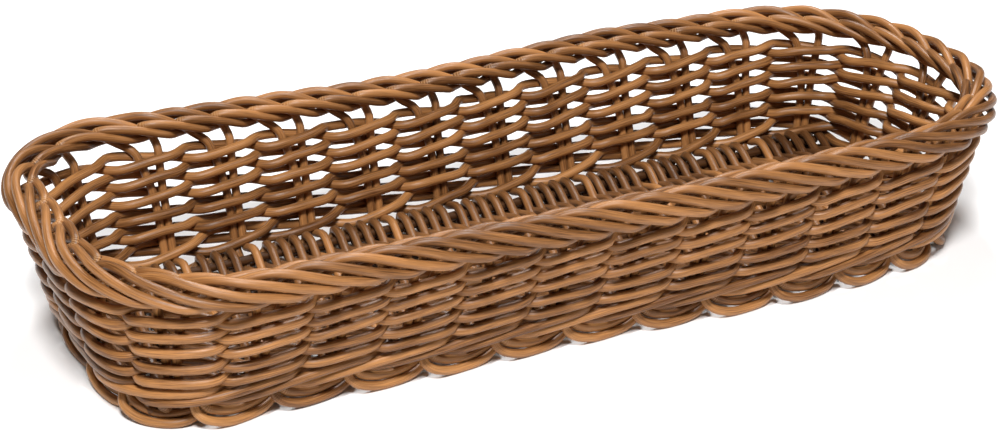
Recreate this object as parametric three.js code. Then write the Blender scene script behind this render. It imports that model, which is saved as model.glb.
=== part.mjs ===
// Long woven bread basket: round plastic-rattan strands, paired upright stakes, six rows of
// waling, a thick rolled border at the rim, and a scalloped foot made of paired strands.
// Units are millimetres, +Z is up, the basket stands on z = 0 and its long side runs along X.
import * as THREE from 'three';

// ---- driving dimensions ---------------------------------------------------------------------
const LENGTH = 500;            // over the border, along X
const WIDTH = 202;             // over the border, along Y
const HEIGHT = 86;             // foot to the top of the border
const STRAND = 4;              // diameter of one strand
const GAP = 0.3;               // clearance left between pieces that touch

const STAKES = 30;             // pairs of upright stakes round the basket
const PAIR_WIDTH = 2 * STRAND + GAP;
const CROSSING_STAKES = 10;    // of them on each long side that cross the base to the other side

const BORDER_SIZE = 15.6;      // thickness of the rolled border
const BORDER_LOBES = 6;        // rods side by side in one cut through the border
const BORDER_TURNS = 10;       // times the rods wind round the border on the way round the rim
const BORDER_GROOVE = 1.3;     // depth of the groove between two rods

const WALE_ROWS = 6;
const WALE_BOTTOM = 14.6;      // underside of the lowest row
const WALE_PITCH = 9.2;        // height from one row to the next
const OUTER_EASE = 0.6;        // extra room where a row rounds the outside of a stake
const INNER_EASE = 0.2;        // and where it passes inside one

const FOOT_LENGTH = 450, FOOT_WIDTH = 138, FOOT_RADIUS = 31;   // centre line of the wall, foot
const RIM_RADIUS = 78;                                         // centre line of the wall, rim
const FOOT_Z = STRAND / 2;
const FOOT_RISE = 5.9;         // how far a foot strand lifts where it turns at a stake

const STICK_Z = 9.5;           // height of the lengthwise base sticks
const EDGE_Z = 12.3;           // height at which the stakes leave the base for the wall
const STICK_SPACING = 26;      // from one lengthwise stick to the next
const WEAVE_REACH = 61;        // half length of the crosswise base weaving
const PLATEAU = 1.5;           // flat stretch kept either side of a crossing
const HOOK = 9;                // how far the corner and end stakes turn in over the foot

// ---- derived sizes --------------------------------------------------------------------------
const RIM_LENGTH = LENGTH - BORDER_SIZE, RIM_WIDTH = WIDTH - BORDER_SIZE;
const BORDER_Z = HEIGHT - BORDER_SIZE / 2;
const STAKE_TOP = BORDER_Z - BORDER_SIZE / 2 - GAP;
const LIFT = STRAND + GAP;     // centre-to-centre offset of two strands that cross
const quarter = (length, width, radius) => (length + width) / 2 - (2 - Math.PI / 2) * radius;
const FOOT_QUARTER = quarter(FOOT_LENGTH, FOOT_WIDTH, FOOT_RADIUS);
const RIM_QUARTER = quarter(RIM_LENGTH, RIM_WIDTH, RIM_RADIUS);
const PITCH = 4 * FOOT_QUARTER / STAKES;
const UPRIGHT = 4.5 * PITCH;   // stakes nearer the middle than this rise without fanning out

// ---- the wall's surface ---------------------------------------------------------------------
// Point of a rounded rectangle, `run` along it anticlockwise from the middle of the front side.
function roundedRectangle(length, width, radius, run) {
  const part = quarter(length, width, radius);
  const turns = Math.floor(run / (2 * part));
  let along = run - turns * 2 * part;
  const mirrored = along > part;
  if (mirrored) along = 2 * part - along;
  const straight = length / 2 - radius, arc = Math.PI / 2 * radius;
  let x = along, y = -width / 2;
  if (along > straight + arc) {
    x = length / 2;
    y = -(part - along);
  } else if (along > straight) {
    const angle = (along - straight) / radius;
    x = straight + radius * Math.sin(angle);
    y = -width / 2 + radius * (1 - Math.cos(angle));
  }
  if (mirrored) y = -y;
  return turns % 2 === 0 ? new THREE.Vector2(x, y) : new THREE.Vector2(-x, -y);
}

// Where a stake's foot position arrives at the rim: straight up on the long sides, fanned at the ends.
function rimRun(run) {
  const half = Math.floor(run / (2 * FOOT_QUARTER));
  let along = run - half * 2 * FOOT_QUARTER;
  const mirrored = along > FOOT_QUARTER;
  if (mirrored) along = 2 * FOOT_QUARTER - along;
  const fan = (RIM_QUARTER - UPRIGHT) / (FOOT_QUARTER - UPRIGHT);
  if (along > UPRIGHT) along = UPRIGHT + (along - UPRIGHT) * fan;
  return half * 2 * RIM_QUARTER + (mirrored ? 2 * RIM_QUARTER - along : along);
}

// Point of the wall's middle surface at `station` (counted in stakes) and height z.
function wallCentre(station, z) {
  const run = ((station % STAKES) + STAKES) % STAKES * PITCH;
  const foot = roundedRectangle(FOOT_LENGTH, FOOT_WIDTH, FOOT_RADIUS, run);
  const rim = roundedRectangle(RIM_LENGTH, RIM_WIDTH, RIM_RADIUS, rimRun(run));
  return foot.lerp(rim, (z - FOOT_Z) / (BORDER_Z - FOOT_Z));
}

function wallTangent(station, z) {
  return wallCentre(station + 0.02, z).sub(wallCentre(station - 0.02, z)).normalize();
}

// The same point moved outwards by `out`, as a 3-D point.
function wallPoint(station, z, out = 0) {
  const centre = wallCentre(station, z), tangent = wallTangent(station, z);
  return new THREE.Vector3(centre.x + tangent.y * out, centre.y - tangent.x * out, z);
}

// ---- builders -------------------------------------------------------------------------------
const basket = new THREE.Group();

function add(name, geometry, colour) {
  geometry.computeVertexNormals();
  const material = new THREE.MeshStandardMaterial({ color: colour, roughness: 0.5, metalness: 0 });
  const mesh = new THREE.Mesh(geometry, material);
  mesh.name = name;
  basket.add(mesh);
}

// A closed ring: a torus whose step `i` and corner `k` are put where place(i, k) says.
function ring(name, steps, corners, colour, place) {
  const geometry = new THREE.TorusGeometry(2, 1, corners, steps);
  const position = geometry.attributes.position, uv = geometry.attributes.uv;
  for (let n = 0; n < position.count; n++) {
    const i = Math.round(uv.getX(n) * steps) % steps;
    const k = Math.round(uv.getY(n) * corners) % corners;
    const point = place(i, k);
    position.setXYZ(n, point.x, point.y, point.z);
  }
  add(name, geometry, colour);
}

// Corner k of a rectangle seen along the ring: outer bottom, outer top, inner top, inner bottom.
const cornerOut = (k) => (k === 0 || k === 1 ? 1 : -1);
const cornerUp = (k) => (k === 1 || k === 2 ? 1 : -1);

// A bar along a path of points that bends only across `side`, mitred at every bend.
// The outline lists the section's corners as [across, through] fractions of half width, half thickness.
const FLAT_PAIR = [[1, 0], [0.6, 1], [-0.6, 1], [-1, 0], [-0.6, -1], [0.6, -1]];
const PLATE = [[1, -1], [1, 1], [-1, 1], [-1, -1]];
const ROUND = Array.from({ length: 8 }, (_, k) => [Math.cos(k * Math.PI / 4), Math.sin(k * Math.PI / 4)]);

function bar(name, path, sideAt, outline, width, thickness, colour) {
  const steps = path.length - 1, count = outline.length;
  const frames = path.map((point, i) => {
    const before = path[Math.max(i - 1, 0)], after = path[Math.min(i + 1, steps)];
    const arriving = point.clone().sub(before), leaving = after.clone().sub(point);
    if (i === 0) arriving.copy(leaving);
    if (i === steps) leaving.copy(arriving);
    arriving.normalize();
    leaving.normalize();
    const ahead = arriving.clone().add(leaving).normalize();
    const side = sideAt(i).clone().addScaledVector(ahead, -sideAt(i).dot(ahead)).normalize();
    const through = new THREE.Vector3().crossVectors(ahead, side);
    return { point, side, through, mitre: 1 / ahead.dot(arriving) };
  });
  const geometry = new THREE.CylinderGeometry(1, 1, 1, count, steps);
  const position = geometry.attributes.position;
  for (let n = 0; n < position.count; n++) {
    const x = position.getX(n), y = position.getY(n), z = position.getZ(n);
    const { point, side, through, mitre } = frames[Math.round((y + 0.5) * steps)];
    const place = point.clone();
    if (Math.hypot(x, z) > 0.5) {
      const k = Math.round(Math.atan2(x, z) / (2 * Math.PI) * count + count) % count;
      place.addScaledVector(side, outline[k][0] * width / 2);
      place.addScaledVector(through, outline[k][1] * mitre * thickness / 2);
    }
    position.setXYZ(n, place.x, place.y, place.z);
  }
  add(name, geometry, colour);
}

// ---- rolled border --------------------------------------------------------------------------
// Six rods lie side by side in any cut; each winds inside, over the top, outside and under.
const BORDER_CORNERS = 2 * BORDER_LOBES, BORDER_STEPS = BORDER_CORNERS * BORDER_TURNS;
ring('border', BORDER_STEPS, BORDER_CORNERS, 0xb98556, (i, k) => {
  const angle = 2 * Math.PI * (k - i) / BORDER_CORNERS;
  const radius = BORDER_SIZE / 2 - (k % 2 === 0 ? 0 : BORDER_GROOVE);
  const point = wallPoint(i / BORDER_STEPS * STAKES, BORDER_Z, radius * Math.cos(angle));
  point.z += radius * Math.sin(angle);
  return point;
});

// ---- waling: each row passes outside one pair of stakes and inside the next -------------------
for (let row = 0; row < WALE_ROWS; row++) {
  const middle = WALE_BOTTOM + row * WALE_PITCH + (WALE_PITCH - GAP) / 2;
  const clear = (PAIR_WIDTH / 2 + GAP) / PITCH + 0.02;
  ring(`wale_row_${row + 1}`, 2 * STAKES, 4, row % 2 ? 0xa87649 : 0xb27f50, (i, k) => {
    const stake = Math.floor(i / 2);
    const station = stake + 0.5 + (i % 2 ? clear : -clear);
    const out = ((stake + row) % 2 ? LIFT + OUTER_EASE : -LIFT - INNER_EASE) + cornerOut(k) * STRAND / 2;
    return wallPoint(station, middle + cornerUp(k) * (WALE_PITCH - GAP) / 2, out);
  });
}

// ---- foot: two strands side by side, lifted at each stake and resting on the table between ----
const FOOT_SHAPE = [[0.5, 1], [0.8, 0], [1.2, 0]];             // [share of a pitch, share of the rise]
function footStrand(name, out, floor, colour) {
  ring(name, FOOT_SHAPE.length * STAKES, 4, colour, (i, k) => {
    const [share, lift] = FOOT_SHAPE[i % FOOT_SHAPE.length];
    const station = Math.floor(i / FOOT_SHAPE.length) + share;
    const middle = FOOT_Z + floor + lift * (FOOT_RISE - floor);
    const point = wallPoint(station, FOOT_Z, out + cornerOut(k) * STRAND / 2);
    point.z = middle + cornerUp(k) * STRAND / 2;
    return point;
  });
}
footStrand('foot_strand_outer', LIFT / 2, 0, 0xba8657);
footStrand('foot_strand_inner', -LIFT / 2, 2, 0xac7a4c);

// ---- base: lengthwise sticks, and crosswise strands woven over and under them -----------------
// The middle one of the five carries on up both end walls as the end stakes.
const STICKS = [-2, -1, 0, 1, 2].map((n) => n * STICK_SPACING);
const OUTER_STICK_Y = STICKS[STICKS.length - 1];
const stickHalf = (y) => (y === 0 ? PAIR_WIDTH : STRAND) / 2;

// Crosswise points over and under the sticks; sign +1 starts and ends over a stick.
function wovenPath(x, sign) {
  return STICKS.flatMap((y, n) => {
    const z = STICK_Z + LIFT * sign * (n % 2 ? -1 : 1);
    const reach = stickHalf(y) + PLATEAU;
    return [new THREE.Vector3(x, y - reach, z), new THREE.Vector3(x, y + reach, z)];
  });
}

const ALONG_X = new THREE.Vector3(1, 0, 0), ALONG_Y = new THREE.Vector3(0, 1, 0);

// Along the wall at a station, turned to point the same way as `like`.
function alongWall(station, z, like) {
  const tangent = wallTangent(station, z);
  const side = new THREE.Vector3(tangent.x, tangent.y, 0);
  return side.dot(like) < 0 ? side.negate() : side;
}

// Width direction of a frame: level with the base inside, along the wall at its two uprights.
function frameSide(first, last, count, like) {
  return (i) => {
    if (i < 2) return alongWall(first, i ? EDGE_Z : STAKE_TOP, like);
    if (i > count - 3) return alongWall(last, i < count - 1 ? EDGE_Z : STAKE_TOP, like);
    return like;
  };
}

const STICK_REACH = FOOT_LENGTH / 2 - 13;
for (const [name, y] of [['front_outer', -2], ['front_inner', -1], ['back_inner', 1], ['back_outer', 2]]) {
  const ends = [-STICK_REACH, STICK_REACH].map((x) => new THREE.Vector3(x, y * STICK_SPACING, STICK_Z));
  bar(`base_stick_${name}`, ends, () => ALONG_Y, ROUND, STRAND, STRAND, 0x8f6440);
}

// Stakes that cross the base: up the front wall, woven through the sticks, up the back wall.
const half = (CROSSING_STAKES - 1) / 2;
for (let n = -half; n <= half; n++) {
  const front = n, back = STAKES / 2 - n;
  const edge = (station) => wallPoint(station, EDGE_Z);
  const inward = (station, y) => edge(station).setY(y);
  const x = edge(front).x, lip = OUTER_STICK_Y + 10;
  const path = [wallPoint(front, STAKE_TOP), edge(front), inward(front, -lip),
    ...wovenPath(x, 1), inward(back, lip), edge(back), wallPoint(back, STAKE_TOP)];
  const side = frameSide(front, back, path.length, ALONG_X);
  bar(`stake_frame_${n + half + 1}`, path, side, FLAT_PAIR, PAIR_WIDTH, STRAND, 0xa06f45);
}

// The middle stick's pair: the length of the base and up both end walls.
const RIGHT_END = STAKES / 4, LEFT_END = 3 * STAKES / 4;
{
  const rise = (station) => [wallPoint(station, STAKE_TOP), wallPoint(station, EDGE_Z)];
  const lip = FOOT_LENGTH / 2 - 6, low = lip - 8;
  const path = [...rise(LEFT_END), new THREE.Vector3(-lip, 0, EDGE_Z), new THREE.Vector3(-low, 0, STICK_Z),
    new THREE.Vector3(low, 0, STICK_Z), new THREE.Vector3(lip, 0, EDGE_Z), ...rise(RIGHT_END).reverse()];
  const side = frameSide(LEFT_END, RIGHT_END, path.length, ALONG_Y);
  bar('end_frame', path, side, FLAT_PAIR, PAIR_WIDTH, STRAND, 0x9c6c43);
}

// The other end stakes and the corner stakes, hooked a little way in over the foot.
for (const [place, station, step] of [['front_right', RIGHT_END, -1], ['back_right', RIGHT_END, 1],
  ['back_left', LEFT_END, -1], ['front_left', LEFT_END, 1]]) {
  [['end', station + step], ['corner', station + 2 * step]].forEach(([kind, at]) => {
    const path = [wallPoint(at, STAKE_TOP), wallPoint(at, EDGE_Z), wallPoint(at, EDGE_Z, -HOOK)];
    const side = (i) => alongWall(at, i ? EDGE_Z : STAKE_TOP, ALONG_X);
    bar(`${kind}_stake_${place}`, path, side, FLAT_PAIR, PAIR_WIDTH, STRAND, 0x9c6c43);
  });
}

// Weaving between the stakes that cross the base and beyond the last, the other way over the sticks.
const stakeX = (n) => wallPoint(n, EDGE_Z).x;
const weaveEnd = FOOT_LENGTH / 2 - 20;
for (let n = -half - 1; n <= half; n++) {
  const low = n < -half ? -weaveEnd : stakeX(n) + PAIR_WIDTH / 2 + GAP;
  const high = n === half ? weaveEnd : stakeX(n + 1) - PAIR_WIDTH / 2 - GAP;
  const path = wovenPath((low + high) / 2, -1);
  path[0].y = -WEAVE_REACH;
  path[path.length - 1].y = WEAVE_REACH;
  bar(`base_weave_${n + half + 2}`, path, () => ALONG_X, PLATE, high - low, STRAND, 0x845b39);
}

export default basket;
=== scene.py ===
# Long woven bread basket in round plastic rattan: every strand is modelled as its own swept rod.
# The strands are laid out in millimetres and turned into metres when a mesh is built. A place on
# the wall is a station, counted in stakes anticlockwise from the middle of the front, and a height.
import math
import bpy
import numpy as np
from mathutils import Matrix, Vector


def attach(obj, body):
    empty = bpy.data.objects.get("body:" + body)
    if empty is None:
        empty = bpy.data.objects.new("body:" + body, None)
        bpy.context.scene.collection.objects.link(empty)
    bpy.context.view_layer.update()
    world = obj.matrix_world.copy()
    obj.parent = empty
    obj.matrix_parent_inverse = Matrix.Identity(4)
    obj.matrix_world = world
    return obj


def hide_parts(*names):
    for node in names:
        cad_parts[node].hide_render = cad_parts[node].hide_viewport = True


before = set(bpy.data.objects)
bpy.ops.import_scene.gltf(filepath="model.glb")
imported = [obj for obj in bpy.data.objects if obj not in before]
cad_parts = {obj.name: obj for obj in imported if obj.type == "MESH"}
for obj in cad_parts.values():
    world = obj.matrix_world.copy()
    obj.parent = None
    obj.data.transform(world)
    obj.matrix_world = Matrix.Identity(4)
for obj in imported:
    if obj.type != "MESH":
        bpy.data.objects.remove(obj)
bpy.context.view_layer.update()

MM = 0.001
rng = np.random.default_rng(41)

# ---- sizes in millimetres ---------------------------------------------------------------------
STRAND = 4.4                       # diameter of a strand
RADIUS = STRAND / 2
ROW_RADIUS = 2.4                   # the rows' strands are a little thicker
STAKES = 30                        # pairs of stakes round the basket
QUARTER_STAKES = STAKES / 4
HALF_PAIR = 2.25                   # from the middle of a pair to each of its two strands
FOOT_LENGTH, FOOT_WIDTH = 450.0, 138.0
RIM_LENGTH, RIM_WIDTH = 484.4, 186.4
FOOT_Z, BORDER_Z = 2.0, 78.2       # heights of the wall's two guide lines
FOOT_RADII = (40.0, 31.0, 31.0, 41.0)      # corners: front right, back right, back left, front left
RIM_RADII = (80.0, 93.0, 50.0, 74.0)
WALE_Z = 17.8                      # height of the lowest row, a wale of three rods
ROWS = (27.8, 36.0, 44.6, 53.0, 61.4)      # heights of the rows above it, of two rods each
LOOSE_ROWS = 2                     # the lowest of them, whose rods keep more nearly level
BASE_Z = 11.2                      # height of the lengthwise base sticks
STICKS = (-53.0, -26.0, 1.5, 29.5, 58.0)   # where they lie, from front to back
STICK_ENDS = (-214, 209)
BASE_ENDS = (-213.0, 206.0)        # ends of the crosswise weaving
WEAVER_PITCH = 3.75                # from one pass of a weaver to the next
WEAVER_ROOM = 4.2                  # from the middle of a stake pair to the weaving beside it
FLAT = 2.0                         # half of the level stretch where a strand crosses a stick
EDGE = 13.0                        # height at which a stake leaves the wall for the base
STAKE_SIDE = -6.0                  # a stake pair rises this far anticlockwise of its station
FOOT_SIDE = 4.2                    # and a foot pair begins this far anticlockwise of it
BACK_SAG = 3.0                     # how far the back rim has sunk
SIDES = 12                         # corners of a strand's cross-section
STEP = 2.6                         # length of one ring along a strand
FOOT_STEP = 1.8                    # and along the tightly bent foot strands


def quarter(length, width, radius):
    """A quarter of the way round a rounded rectangle."""
    return (length + width) / 2 - (2 - math.pi / 2) * radius


PITCH = 4 * quarter(FOOT_LENGTH, FOOT_WIDTH, 31.0) / STAKES
UPRIGHT = 4.5 * PITCH              # stakes nearer the middle than this rise without fanning out


# ---- the wall's surface -----------------------------------------------------------------------
def corner_curve(length, width, radius, along):
    """First quadrant of a rounded rectangle: x from the middle, y from 0 down to the front."""
    straight, arc = length / 2 - radius, math.pi / 2 * radius
    angle = np.clip((along - straight) / radius, 0, math.pi / 2)
    x = np.minimum(along, straight) + radius * np.sin(angle)
    y = -width / 2 + radius * (1 - np.cos(angle)) + np.maximum(along - straight - arc, 0)
    return x, y


def bump(x, centre, spread):
    """A smooth hump of height 1."""
    return np.exp(-((x - centre) / spread) ** 2)


def wall(station, z):
    """Centre points and outward normals of the wall at stations (counted in stakes) and heights."""
    station = np.asarray(station, float)
    z = np.asarray(z, float) + 0 * station

    def place(s):
        s = np.mod(s, STAKES)
        quad = np.minimum((s / QUARTER_STAKES).astype(int), 3)
        part = s / QUARTER_STAKES - quad
        part = np.where(quad % 2 == 1, 1 - part, part)
        foot_r = np.array(FOOT_RADII)[quad]
        rim_r = np.array(RIM_RADII)[quad]
        foot_quarter = quarter(FOOT_LENGTH, FOOT_WIDTH, foot_r)
        rim_quarter = quarter(RIM_LENGTH, RIM_WIDTH, rim_r)
        along = part * foot_quarter
        fan = (rim_quarter - UPRIGHT) / (foot_quarter - UPRIGHT)
        rim_along = np.where(along > UPRIGHT, UPRIGHT + (along - UPRIGHT) * fan, along)
        fx, fy = corner_curve(FOOT_LENGTH, FOOT_WIDTH, foot_r, along)
        rx, ry = corner_curve(RIM_LENGTH, RIM_WIDTH, rim_r, rim_along)
        sx = np.where((quad == 0) | (quad == 1), 1, -1)
        sy = np.where((quad == 0) | (quad == 3), 1, -1)
        fx, rx, fy, ry = fx * sx, rx * sx, fy * sy, ry * sy
        front = sy > 0
        # the basket isn't quite straight: its long sides bow forwards, and its ends are drawn in
        ry = ry - np.where(front, 5.0 * bump(rx, 30, 120), 0)
        ry = ry - np.where(~front, 5 * bump(rx, -30, 75) + 3 * bump(rx, 150, 42)
                           - 4 * bump(rx, -188, 20), 0)
        fy = fy - np.where(front, 10.0 * bump(fx, 115, 85) - 3 * bump(fx, -150, 50), 0)
        fx = fx - np.where(fx > 150, 0.15 * (fx - 150), 0) - np.where(fx < -150, 0.03 * (fx + 150), 0)
        rx = rx - np.where(rx < -150, 0.025 * (rx + 150), 0)
        share = (z - FOOT_Z) / (BORDER_Z - FOOT_Z)
        return np.stack([fx + (rx - fx) * share, fy + (ry - fy) * share], -1)

    centre = place(station)
    tangent = place(station + 0.03) - place(station - 0.03)
    tangent /= np.linalg.norm(tangent, axis=-1, keepdims=True)
    normal = np.stack([tangent[..., 1], -tangent[..., 0]], -1)
    return centre, normal


def sagged(station, z):
    """The heights z once the back rim has sunk, mostly in the middle."""
    middle = bump(np.mod(station, STAKES), 15.8, 2.6) + 0.5 * bump(np.mod(station, STAKES), 11, 1.2)
    return z - BACK_SAG * middle * (z - FOOT_Z) / (BORDER_Z - FOOT_Z)


def on_wall(station, z, out=0.0, along=0.0):
    """Points beside the wall: `out` mm outwards and `along` mm anticlockwise of a station."""
    values = (np.asarray(value, float) for value in (station, z, out, along))
    station, z, out, along = np.broadcast_arrays(*values)
    centre, normal = wall(station + along / PITCH, z)
    return np.concatenate([centre + normal * out[..., None], sagged(station, z)[..., None]], -1)


def beside_rim(station, z, out):
    """Points of the border: `out` mm outwards, measured level from the rim line."""
    centre, normal = wall(station, np.full_like(station, BORDER_Z))
    return np.concatenate([centre + normal * out[..., None], sagged(station, z)[..., None]], -1)


# ---- strands ----------------------------------------------------------------------------------
def smooth_path(points, closed=False, step=STEP):
    """Catmull-Rom curve through the points, resampled evenly."""
    p = np.asarray(points, float)
    if closed:
        p = np.vstack([p[-1], p, p[:2]])
    else:
        p = np.vstack([2 * p[0] - p[1], p, 2 * p[-1] - p[-2]])
    knot = np.concatenate([[0], np.cumsum(np.sqrt(np.linalg.norm(np.diff(p, axis=0), axis=1) + 1e-9))])
    dense = []
    for i in range(1, len(p) - 2):
        t = np.linspace(knot[i], knot[i + 1], 13)[:-1, None]
        k = knot[i - 1:i + 3]
        a = [(k[j + 1] - t) / (k[j + 1] - k[j]) * p[i - 1 + j] + (t - k[j]) / (k[j + 1] - k[j]) * p[i + j]
             for j in range(3)]
        b = [(k[j + 2] - t) / (k[j + 2] - k[j]) * a[j] + (t - k[j]) / (k[j + 2] - k[j]) * a[j + 1]
             for j in range(2)]
        dense.append((k[2] - t) / (k[2] - k[1]) * b[0] + (t - k[1]) / (k[2] - k[1]) * b[1])
    dense = np.vstack(dense + [p[-2][None]])
    run = np.concatenate([[0], np.cumsum(np.linalg.norm(np.diff(dense, axis=0), axis=1))])
    count = max(3, int(round(run[-1] / step)))
    even = np.linspace(0, run[-1], count + 1)
    if closed:
        even = even[:-1]
    return np.stack([np.interp(even, run, dense[:, k]) for k in range(3)], -1), run[-1]


def frames(path, closed):
    """Direction, sideways and upward unit vectors at each point, turning as little as possible."""
    if closed:
        ahead = np.roll(path, -1, 0) - np.roll(path, 1, 0)
    else:
        ahead = np.gradient(path, axis=0)
    ahead /= np.linalg.norm(ahead, axis=1, keepdims=True)
    side = np.zeros_like(ahead)
    first = np.cross(ahead[0], (0.0, 0.0, 1.0))
    if np.linalg.norm(first) < 0.2:
        first = np.cross(ahead[0], (1.0, 0.0, 0.0))
    side[0] = first / np.linalg.norm(first)
    for i in range(1, len(path)):
        s = side[i - 1] - ahead[i] * side[i - 1].dot(ahead[i])
        side[i] = s / np.linalg.norm(s)
    up = np.cross(ahead, side)
    if closed:                     # spread the leftover twist round the ring
        s = side[-1] - ahead[0] * side[-1].dot(ahead[0])
        turn = math.atan2(s.dot(up[0]), s.dot(side[0]))
        a = -turn * np.arange(len(path))[:, None] / len(path)
        side, up = side * np.cos(a) + up * np.sin(a), up * np.cos(a) - side * np.sin(a)
    return ahead, side, up


class Rods:
    """Collects swept strands into one mesh."""

    def __init__(self):
        self.verts, self.quads, self.tris = [], [], []
        self.grain, self.bend, self.tone, self.count = [], [], [], 0

    def add(self, points, closed=False, radius=RADIUS, step=STEP):
        """Sweep a strand along the points, with rounded tips unless it closes on itself."""
        path, length = smooth_path(points, closed, step)
        n = len(path)
        ahead, side, up = frames(path, closed)
        if closed:
            curl = np.linalg.norm(np.roll(ahead, -1, 0) - np.roll(ahead, 1, 0), axis=1)
        else:
            curl = np.linalg.norm(np.gradient(ahead, axis=0), axis=1) * 2
        curl = curl * RADIUS / (2 * length / max(n - 1, 1))        # strand radius over bend radius
        run = np.linspace(0, length, n, endpoint=not closed)
        scale = np.ones(n)
        centres, ring_side, ring_up, ring_run, ring_curl = path, side, up, run, curl
        if not closed:             # the tips are short rings that close in
            heads = []
            for end, sign in ((0, -1), (-1, 1)):
                grow = [(math.cos(a), sign * math.sin(a)) for a in np.radians((25, 50, 72))]
                rings = [(path[end] + ahead[end] * s * radius * 0.8, c) for c, s in grow]
                heads.append(rings if sign > 0 else rings[::-1])
            centres = np.vstack([[c for c, _ in heads[0]], path, [c for c, _ in heads[1]]])
            scale = np.concatenate([[c for _, c in heads[0]], scale, [c for _, c in heads[1]]])
            k = len(heads[0])
            pad = lambda v: np.concatenate([np.repeat(v[:1], k, 0), v, np.repeat(v[-1:], k, 0)])
            ring_side, ring_up, ring_run, ring_curl = pad(side), pad(up), pad(run), pad(curl)
        m = len(centres)
        angle = 2 * math.pi * np.arange(SIDES) / SIDES
        spread = (ring_side[:, None] * np.cos(angle)[None, :, None]
                  + ring_up[:, None] * np.sin(angle)[None, :, None])
        verts = centres[:, None] + spread * (radius * scale)[:, None, None]
        base = self.count
        i = np.arange(m if closed else m - 1)
        k = np.arange(SIDES)
        a = base + i[:, None] * SIDES + k[None]
        b = base + i[:, None] * SIDES + (k[None] + 1) % SIDES
        c = base + ((i[:, None] + 1) % m) * SIDES + (k[None] + 1) % SIDES
        d = base + ((i[:, None] + 1) % m) * SIDES + k[None]
        self.quads.append(np.stack([a, b, c, d], -1).reshape(-1, 4))
        offset = rng.uniform(-50, 50)
        local = np.stack(np.broadcast_arrays(
            np.cos(angle)[None] * scale[:, None] * radius, np.sin(angle)[None] * scale[:, None] * radius,
            ring_run[:, None] + offset), -1)
        self.verts.append(verts.reshape(-1, 3))
        self.grain.append(local.reshape(-1, 3))
        self.bend.append(np.repeat(ring_curl, SIDES))
        tone = rng.uniform(0, 1)
        self.count += m * SIDES
        total = m * SIDES
        if not closed:
            last = base + (m - 1) * SIDES
            for centre, ring, flip, at in ((path[0] - ahead[0] * radius * 0.82, base, True, 0),
                                           (path[-1] + ahead[-1] * radius * 0.82, last, False, -1)):
                self.verts.append(centre[None])
                self.grain.append(np.array([[0, 0, run[at] + offset]]))
                self.bend.append(curl[[at]])
                hub = self.count
                self.count += 1
                total += 1
                one, two = ring + k, ring + (k + 1) % SIDES
                face = (two, one) if flip else (one, two)
                self.tris.append(np.stack([face[0], face[1], np.full(SIDES, hub)], -1))
        self.tone.append(np.full(total, tone))

    def build(self, name):
        """Make the mesh object, with the attributes that the materials read."""
        verts = np.vstack(self.verts) * MM
        quads = np.vstack(self.quads)
        faces = quads.tolist() + (np.vstack(self.tris).tolist() if self.tris else [])
        mesh = bpy.data.meshes.new(name)
        mesh.from_pydata(verts.tolist(), [], faces)
        mesh.polygons.foreach_set("use_smooth", [True] * len(faces))
        attribute = mesh.attributes.new("grain", "FLOAT_VECTOR", "POINT")
        attribute.data.foreach_set("vector", np.vstack(self.grain).astype(np.float32).ravel())
        for key, values in (("bend", self.bend), ("tone", self.tone)):
            attribute = mesh.attributes.new(key, "FLOAT", "POINT")
            attribute.data.foreach_set("value", np.concatenate(values).astype(np.float32))
        mesh.update()
        piece = bpy.data.objects.new(name, mesh)
        bpy.context.collection.objects.link(piece)
        return piece


def wander(count, size):
    """Smoothed noise of a closed row of knots, one value for each."""
    noise = rng.normal(0, 1, count)
    noise = (np.roll(noise, 1) + 2 * noise + np.roll(noise, -1)) / 4
    return noise * size


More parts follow.
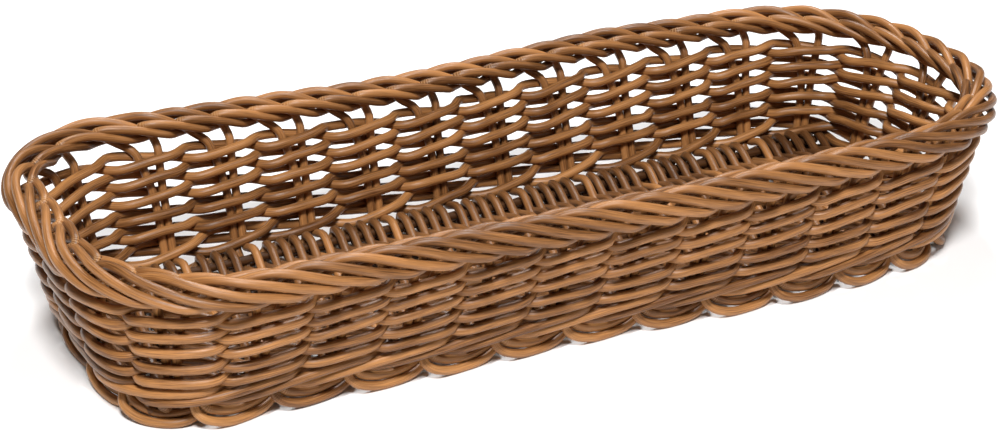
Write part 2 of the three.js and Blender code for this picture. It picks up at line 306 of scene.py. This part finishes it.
# ---- materials --------------------------------------------------------------------------------
def strand_material(name, light, dark, crease=0.6):
    """Satin plastic rattan: lengthwise grain, its own tone for each strand, pale creases at bends."""
    material = bpy.data.materials.new(name)
    material.use_nodes = True
    nodes, links = material.node_tree.nodes, material.node_tree.links
    shader = nodes["Principled BSDF"]

    def node(kind, **values):
        made = nodes.new(kind)
        for key, value in values.items():
            setattr(made, key, value)
        return made

    def mapped(scale):
        mapping = node("ShaderNodeMapping")
        mapping.inputs["Scale"].default_value = scale
        links.new(grain.outputs["Vector"], mapping.inputs["Vector"])
        return mapping.outputs["Vector"]

    def noise(vector, scale, detail):
        made = node("ShaderNodeTexNoise")
        made.inputs["Scale"].default_value = scale
        made.inputs["Detail"].default_value = detail
        links.new(vector, made.inputs["Vector"])
        return made.outputs["Fac"]

    def ramp(source, low, high, at=(0.0, 1.0)):
        made = node("ShaderNodeMapRange")
        made.inputs["From Min"].default_value, made.inputs["From Max"].default_value = at
        made.inputs["To Min"].default_value, made.inputs["To Max"].default_value = low, high
        links.new(source, made.inputs["Value"])
        return made.outputs["Result"]

    def maths(operation, one, two):
        made = node("ShaderNodeMath", operation=operation)
        for socket, value in zip(made.inputs, (one, two)):
            if isinstance(value, (int, float)):
                socket.default_value = value
            else:
                links.new(value, socket)
        return made.outputs["Value"]

    grain = node("ShaderNodeAttribute", attribute_name="grain")
    bend = node("ShaderNodeAttribute", attribute_name="bend")
    tone = node("ShaderNodeAttribute", attribute_name="tone")
    fibres = noise(mapped((1.6, 1.6, 0.035)), 2.2, 4)          # long streaks along the strand
    fine = noise(mapped((3.5, 3.5, 0.12)), 2.0, 3)             # short ones
    mottle = noise(mapped((0.25, 0.25, 0.03)), 1.0, 2)         # slow patches
    mixed = maths("ADD", ramp(fibres, -0.40, 0.40, (0.3, 0.7)), ramp(tone.outputs["Fac"], 0.2, 0.8))
    mixed = maths("ADD", mixed, ramp(mottle, -0.22, 0.22, (0.3, 0.7)))
    colour = node("ShaderNodeValToRGB")
    colour.color_ramp.elements[0].color = (*dark, 1)
    colour.color_ramp.elements[1].color = (*light, 1)
    links.new(mixed, colour.inputs["Fac"])
    # crease marks: thin pale lines across the strand where it bends tightly
    wave = node("ShaderNodeTexWave", wave_type="BANDS", bands_direction="Z", wave_profile="SIN")
    wave.inputs["Scale"].default_value = 0.32
    wave.inputs["Distortion"].default_value = 1.6
    wave.inputs["Detail"].default_value = 2
    wave.inputs["Detail Scale"].default_value = 1.5
    links.new(mapped((0.35, 0.35, 1.0)), wave.inputs["Vector"])
    lines = ramp(wave.outputs["Fac"], 0.0, 1.0, (0.62, 1.0))
    tight = ramp(bend.outputs["Fac"], 0.0, crease, (0.22, 0.6))
    pale = node("ShaderNodeMix", data_type="RGBA")
    pale.inputs["B"].default_value = (0.66, 0.42, 0.22, 1)
    links.new(maths("MULTIPLY", lines, tight), pale.inputs["Factor"])
    links.new(colour.outputs["Color"], pale.inputs["A"])
    links.new(pale.outputs["Result"], shader.inputs["Base Color"])
    links.new(ramp(fine, 0.30, 0.46, (0.3, 0.7)), shader.inputs["Roughness"])
    height = maths("ADD", maths("MULTIPLY", fibres, 0.7), maths("MULTIPLY", fine, 0.3))
    height = maths("SUBTRACT", height, maths("MULTIPLY", maths("MULTIPLY", lines, tight), 0.5))
    relief = node("ShaderNodeBump")
    relief.inputs["Strength"].default_value = 0.35
    relief.inputs["Distance"].default_value = 0.0004
    links.new(height, relief.inputs["Height"])
    links.new(relief.outputs["Normal"], shader.inputs["Normal"])
    shader.inputs["Specular IOR Level"].default_value = 0.35
    shader.inputs["Sheen Weight"].default_value = 0.02
    shader.inputs["Sheen Roughness"].default_value = 0.4
    return material


# These are lit and shaded copies of one plastic. Their brightness is painted light and shade: the border is
# lightest, painted light for its top catching the lamps. The base strands are darker and the base sticks
# darkest, painted shade inside the basket. The wall and foot strands lie between.
MATERIALS = {
    "border_strand": strand_material("border_strand", (0.620, 0.285, 0.096), (0.125, 0.044, 0.010)),
    "wale_strand": strand_material("wale_strand", (0.500, 0.226, 0.075), (0.095, 0.033, 0.008)),
    "stake_strand": strand_material("stake_strand", (0.420, 0.185, 0.060), (0.095, 0.034, 0.008)),
    "base_strand": strand_material("base_strand", (0.250, 0.108, 0.036), (0.065, 0.023, 0.006)),
    "base_stick": strand_material("base_stick", (0.120, 0.050, 0.016), (0.040, 0.014, 0.004)),
    "foot_strand": strand_material("foot_strand", (0.520, 0.240, 0.080), (0.130, 0.047, 0.012), 0.85),
}


def finish_piece(rods, name, slot, *nodes, look=None):
    """Turn the strands into a piece that takes the place of the named CAD nodes."""
    piece = rods.build(name)
    piece.data.materials.append(MATERIALS[look or slot])
    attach(piece, "root")
    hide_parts(*nodes)


# ---- waling -------------------------------------------------------------------------------------
# A rod's way round the stakes, until it repeats: stakes passed clockwise, and mm outwards and
# upwards of the row's line. It passes inside a stake at 0, slants out to the front of the next one
# (in TRIPLE the next two) and goes back in lower down. TRIPLE is the lowest row's way, LOOSE that
# of the two rows above it and CLOSE that of the upper rows, where the rods cross more steeply.
CLOSE = ((0.0, -4.5, 0.9), (0.18, -4.5, 2.0), (0.30, -3.7, 2.6), (0.40, -0.3, 2.3), (0.49, 3.0, 1.7),
         (0.61, 4.3, 1.2), (0.8, 4.6, 0.6), (1.0, 4.6, -0.2), (1.2, 4.5, -1.2), (1.34, 3.5, -2.1),
         (1.45, 0.2, -2.4), (1.55, -2.9, -1.9), (1.68, -4.3, -1.1), (1.84, -4.5, -0.1))
LOOSE = ((0.0, -4.3, 0.5), (0.18, -4.3, 1.1), (0.30, -3.5, 1.4), (0.39, -0.4, 1.1), (0.48, 2.8, 0.3),
         (0.60, 4.2, -0.3), (0.8, 4.4, -0.9), (1.0, 4.4, -1.4), (1.2, 4.3, -1.9), (1.34, 3.4, -2.3),
         (1.46, 0.2, -2.2), (1.56, -2.8, -1.5), (1.68, -4.1, -0.6), (1.84, -4.3, 0.0))
TRIPLE = ((0.0, -4.2, -1.4), (0.2, -4.2, 0.4), (0.35, -3.4, 1.8), (0.47, -0.6, 2.9), (0.6, 2.8, 3.4),
          (0.8, 4.1, 3.2), (1.2, 4.4, 1.6), (1.6, 4.4, -0.4), (2.0, 4.3, -2.3), (2.3, 3.2, -3.8),
          (2.46, 0.8, -4.6), (2.6, -1.8, -4.4), (2.75, -3.7, -3.4))


def twined_row(name, node, height, knots, period):
    """A row of `period` rods twisted round the stakes; every rod is a closed ring."""
    rods = Rods()
    for rod in range(period):
        lap = np.arange(0, STAKES, period)
        shape = np.tile(np.array(knots), (len(lap), 1))
        passed = shape[:, 0] + np.repeat(lap, len(knots)) + rod
        count = len(shape)
        station = 0.5 - passed + wander(count, 0.015)
        out = shape[:, 1] + wander(count, 0.3)
        z = height + shape[:, 2] + wander(count, 0.4)
        rods.add(on_wall(station, z, out, STAKE_SIDE), closed=True, radius=ROW_RADIUS)
    finish_piece(rods, name, "wale_strand", node)


twined_row("wale_rods_1", "wale_row_1", WALE_Z, TRIPLE, 3)
for row, height in enumerate(ROWS):
    knots = LOOSE if row < LOOSE_ROWS else CLOSE
    twined_row(f"wale_rods_{row + 2}", f"wale_row_{row + 2}", height, knots, 2)

# ---- border and stakes -------------------------------------------------------------------------
# A stake end's way through the rolled border: half pitches travelled clockwise, and mm outwards and
# upwards of the border's middle. It bends sharply over the inner edge, dives under the border to
# the outside, climbs back over the top and ends inside.
ROLL = ((-0.52, -1.6, -3.6), (-0.70, -3.4, -0.6), (-0.77, -5.0, 1.0), (-0.55, -6.4, 2.3),
        (-0.1, -7.6, 2.0), (0.3, -8.0, 0.4), (0.6, -7.6, -1.4), (0.85, -6.6, -3.2),
        (1.0, -5.4, -4.4), (1.12, -3.6, -5.4), (1.3, -0.9, -6.2), (1.55, 2.0, -6.6),
        (1.85, 4.6, -6.6), (2.1, 5.8, -5.9), (2.5, 6.4, -3.8), (3.0, 6.2, -1.2), (3.5, 5.0, 1.6),
        (4.0, 2.9, 4.0), (4.35, 0.6, 4.8), (4.7, -1.6, 3.8), (5.0, -3.2, 1.6), (5.25, -4.2, -0.8))


def rolled_end(station, which):
    """Points from the top of the wall through the border to the tip."""
    foot_of_roll = (-0.25 - 0.13 * which, -0.4, -8.0)
    roll = np.array((foot_of_roll,) + ROLL)
    own = 0.25 - 0.5 * which       # the two ends of a pair roll over half a pitch apart
    at = station + STAKE_SIDE / PITCH + own - 0.5 * roll[:, 0]
    wobble = wander(len(roll) + 4, 0.25)[2:-2]
    return beside_rim(at, BORDER_Z + roll[:, 2] + wobble[::-1], roll[:, 1] + wobble)


def upright(station, which, low):
    """Points of a stake strand from height `low` up to the border, where a pair spreads out."""
    z = np.array([low, 22.0, 30.0, 38.0, 46.0, 54.0, 61.0, 66.0])
    lean = np.array(((0, 0, 0, 0.2, 1.0, 2.6, 4.6, 6.4), (0, 0, 0, 0, 0, 0.3, 0.6, 0.9)))[which]
    side = (HALF_PAIR, -HALF_PAIR)[which] + (lean if which == 0 else -lean)
    return on_wall(station, z, np.where(z > 64, 0.2, 0.0), STAKE_SIDE + side)


FRONT = [n - 4.5 for n in range(10)]       # stations of the front pairs that cross the base
CLEARANCE = 0.15
HIGH = BASE_Z + STRAND + CLEARANCE         # height of a strand that passes over a stick
LOW = BASE_Z - STRAND - CLEARANCE          # and of one that passes under it


def bowed(x, y):
    """The place y once the front of the base has bowed out with the foot of the wall."""
    return y - 8.0 * bump(x, 115, 85) * np.clip(-y / 53, 0, 1.1)


def crosswise(x0, x1, first):
    """Points across the base, over and under the sticks; the first is passed at height `first`."""
    points = []
    for n, y in enumerate(STICKS):
        z = first if n % 2 == 0 else HIGH + LOW - first
        x = x0 + (x1 - x0) * (y - STICKS[0]) / (STICKS[-1] - STICKS[0])
        y = bowed(x, y)
        points += [(x, y - FLAT, z), (x, y + FLAT, z)]
    return np.array(points)


def stake_strand(rods, station, which, partner, lie):
    """One strand of a pair that crosses the base and is rolled into the border at both ends."""
    up_a, up_b = upright(station, which, EDGE), upright(partner, 1 - which, EDGE)
    end_a, end_b = rolled_end(station, which), rolled_end(partner, 1 - which)
    edge_a, edge_b = up_a[0], up_b[0]
    across = crosswise(edge_a[0], edge_b[0], lie)
    lips = [[edge[0], edge[1] * 0.55 + near[1] * 0.45, (EDGE + lie) / 2 - 1.0]
            for edge, near in ((edge_a, across[0]), (edge_b, across[-1]))]
    rods.add(np.vstack([end_a[::-1], up_a[::-1][:-1], [edge_a + (0, 1.2, -0.5)], lips[:1], across,
                        lips[1:], [edge_b + (0, -1.2, -0.5)], up_b[1:], end_b]))


for number, station in enumerate(FRONT):
    rods = Rods()
    stake_strand(rods, station, 0, STAKES / 2 - station, HIGH)
    stake_strand(rods, station, 1, STAKES / 2 - station, LOW)
    finish_piece(rods, f"stake_pair_{number + 1}", "stake_strand", f"stake_frame_{number + 1}", "border")

# pairs round the two ends: they turn in under the edge of the base
ENDS = {"end_frame": (7.5, 22.5), "end_stake_front_right": (6.5,), "corner_stake_front_right": (5.5,),
        "end_stake_back_right": (8.5,), "corner_stake_back_right": (9.5,),
        "end_stake_back_left": (21.5,), "corner_stake_back_left": (20.5,),
        "end_stake_front_left": (23.5,), "corner_stake_front_left": (24.5,)}
for node, stations in ENDS.items():
    rods = Rods()
    for station in stations:
        for which in (0, 1):
            inward = on_wall(station, [9.2, 7.2, 5.4, 5.2], [-5.0, -13.0, -22.0, -34.0],
                             STAKE_SIDE + (HALF_PAIR, -HALF_PAIR)[which])
            rods.add(np.vstack([inward[::-1], upright(station, which, EDGE), rolled_end(station, which)]))
    name = "end_pairs_middle" if node == "end_frame" else node + "_rods"
    finish_piece(rods, name, "stake_strand", node, "border")

# ---- foot: pairs of strands laced from stake to stake --------------------------------------------
# mm along from a stake, outwards, and height; the outer strand lies lowest
OUTER_ARC = ((0.2, -0.2, 12.2), (0.3, 0.3, 11.2), (1.2, 2.4, 8.8), (4.2, 4.6, 6.2), (9.0, 5.2, 4.0),
             (15.0, 5.0, 2.4), (21.0, 4.4, 2.0), (28.0, 3.2, 2.2), (34.0, 1.4, 3.0),
             (38.5, -1.4, 4.2), (42.0, -3.6, 5.2))
INNER_ARC = ((0.0, -0.5, 12.6), (0.1, -0.4, 11.9), (0.9, 0.7, 10.6), (4.0, 1.6, 9.0), (8.5, 1.6, 7.3),
             (14.0, 1.0, 5.8), (20.0, 0.0, 5.2), (26.0, -1.6, 5.6), (31.5, -3.4, 6.4), (35.0, -5.0, 7.0))
for n in range(STAKES):
    station = n + 0.5
    rods = Rods()
    for which, arc in enumerate((OUTER_ARC, INNER_ARC)):
        begin = FOOT_SIDE + (-HALF_PAIR, HALF_PAIR)[which]
        shape = np.array(arc)
        shape[:, 1] += wander(len(shape), 0.3)
        shape[:, 0] += begin
        rods.add(on_wall(station, shape[:, 2], shape[:, 1], shape[:, 0]), step=FOOT_STEP)
    finish_piece(rods, f"foot_pair_{n + 1}", "foot_strand", "foot_strand_outer", "foot_strand_inner")

# ---- base ----------------------------------------------------------------------------------------
for name, y in (("front_outer", STICKS[0]), ("front_inner", STICKS[1]),
                ("back_inner", STICKS[3]), ("back_outer", STICKS[4])):
    rods = Rods()
    rods.add([(x, bowed(x, y) + rng.uniform(-0.4, 0.4), BASE_Z) for x in np.linspace(*STICK_ENDS, 16)])
    # the sticks take the darkest copy of the plastic: painted shade
    finish_piece(rods, f"base_rod_{name}", "base_strand", f"base_stick_{name}", look="base_stick")
rods = Rods()
for y in (-2.1, 2.1):              # the two middle rods touch, and reach a little further left
    rods.add([(x, y, BASE_Z) for x in np.linspace(STICK_ENDS[0] - 4, STICK_ENDS[1], 12)])
# the middle rods take the darkest copy of the plastic too: painted shade
finish_piece(rods, "base_rods_middle", "base_strand", "end_frame", look="base_stick")


def weave_gap(low, high):
    """One strand laid to and fro between two stake pairs, round the outermost sticks."""
    count = max(2, int(round((high - low) / WEAVER_PITCH)))
    skew = -STAKE_SIDE / (FOOT_WIDTH / 2)          # the passes lie along the slightly turned stakes
    xs = low + (np.arange(count) + 0.5) * (high - low) / count
    points = []
    for n, x in enumerate(xs):
        first = HIGH if n % 2 else LOW
        line = crosswise(x + skew * STICKS[0], x + skew * STICKS[-1], first)
        line[:, 0] += wander(len(line), 0.15)
        if n % 2:                  # every second pass runs from back to front
            line = line[::-1]
        if points:                 # the turn round the outermost stick, from the pass before
            y = line[0][1] + math.copysign(FLAT, line[0][1])
            reach = math.copysign(4.6, y)
            upper = x if first == HIGH else xs[n - 1]      # beside the pass that lies on top
            lean = skew * y
            ease = math.copysign(0.9, BASE_Z - first)
            points += [(xs[n - 1] + lean, y + reach * 0.35, HIGH + LOW - first - ease),
                       (upper + lean, y + reach * 0.62, BASE_Z),
                       (x + lean, y + reach * 0.35, first + ease)]
        points += [tuple(p) for p in line]
    return np.array(points)


pair_x = [wall(np.array([station]), EDGE)[0][0, 0] for station in FRONT]
starts = [BASE_ENDS[0]] + [x + WEAVER_ROOM for x in pair_x]
stops = [x - WEAVER_ROOM for x in pair_x] + [BASE_ENDS[1]]
for number, (low, high) in enumerate(zip(starts, stops)):
    rods = Rods()
    rods.add(weave_gap(low, high))
    # the weavers take a darker copy of the plastic: painted shade inside the basket
    finish_piece(rods, f"base_weaver_{number + 1}", "base_strand", f"base_weave_{number + 1}")

# ---- floor, light and camera ---------------------------------------------------------------------
FLOOR = 1.7                        # metres from the middle to the floor's edge
floor_mesh = bpy.data.meshes.new("floor")
floor_corners = [(-FLOOR, -FLOOR, 0), (FLOOR, -FLOOR, 0), (FLOOR, FLOOR, 0), (-FLOOR, FLOOR, 0)]
floor_mesh.from_pydata(floor_corners, [], [(0, 1, 2, 3)])
floor = bpy.data.objects.new("floor", floor_mesh)
bpy.context.collection.objects.link(floor)
floor_material = bpy.data.materials.new("floor")
floor_material.use_nodes = True
floor_shader = floor_material.node_tree.nodes["Principled BSDF"]
floor_shader.inputs["Base Color"].default_value = (0.95, 0.95, 0.95, 1)
floor_shader.inputs["Roughness"].default_value = 0.9
floor_mesh.materials.append(floor_material)


def area_light(name, place, aim, size, power):
    """A round soft light in metres and watts."""
    data = bpy.data.lights.new(name, "AREA")
    data.shape, data.size, data.energy = "DISK", size, power
    light = bpy.data.objects.new(name, data)
    light.location = place
    light.rotation_mode = "QUATERNION"
    light.rotation_quaternion = (Vector(aim) - Vector(place)).to_track_quat("-Z", "Y")
    bpy.context.collection.objects.link(light)


area_light("key", (-0.7, -1.3, 2.2), (0, 0, 0), 0.6, 80)
area_light("top", (0.4, 0.9, 1.9), (0, 0, 0), 0.6, 34)
area_light("fill", (1.8, -1.4, 0.9), (0, 0, 0), 1.4, 6)

world = bpy.data.worlds.new("studio")
world.use_nodes = True
nodes, links = world.node_tree.nodes, world.node_tree.links
nodes["Background"].inputs["Color"].default_value = (1, 1, 1, 1)
seen = nodes.new("ShaderNodeLightPath")            # pale behind the floor, dim as a light
level = nodes.new("ShaderNodeMapRange")
level.inputs["To Min"].default_value, level.inputs["To Max"].default_value = 0.08, 0.95
links.new(seen.outputs["Is Camera Ray"], level.inputs["Value"])
links.new(level.outputs["Result"], nodes["Background"].inputs["Strength"])
bpy.context.scene.world = world
bpy.context.scene.view_settings.view_transform = "Standard"

camera_data = bpy.data.cameras.new("camera")
camera_data.sensor_width = 36
camera_data.lens = 87.62
camera = bpy.data.objects.new("camera", camera_data)
camera.location = (-0.4926, -0.9720, 0.5611)
camera.rotation_mode = "QUATERNION"
camera.rotation_quaternion = (Vector((-0.01395, 0.0006, 0.0355)) - camera.location).to_track_quat("-Z", "Y")
bpy.context.collection.objects.link(camera)
bpy.context.scene.camera = camera
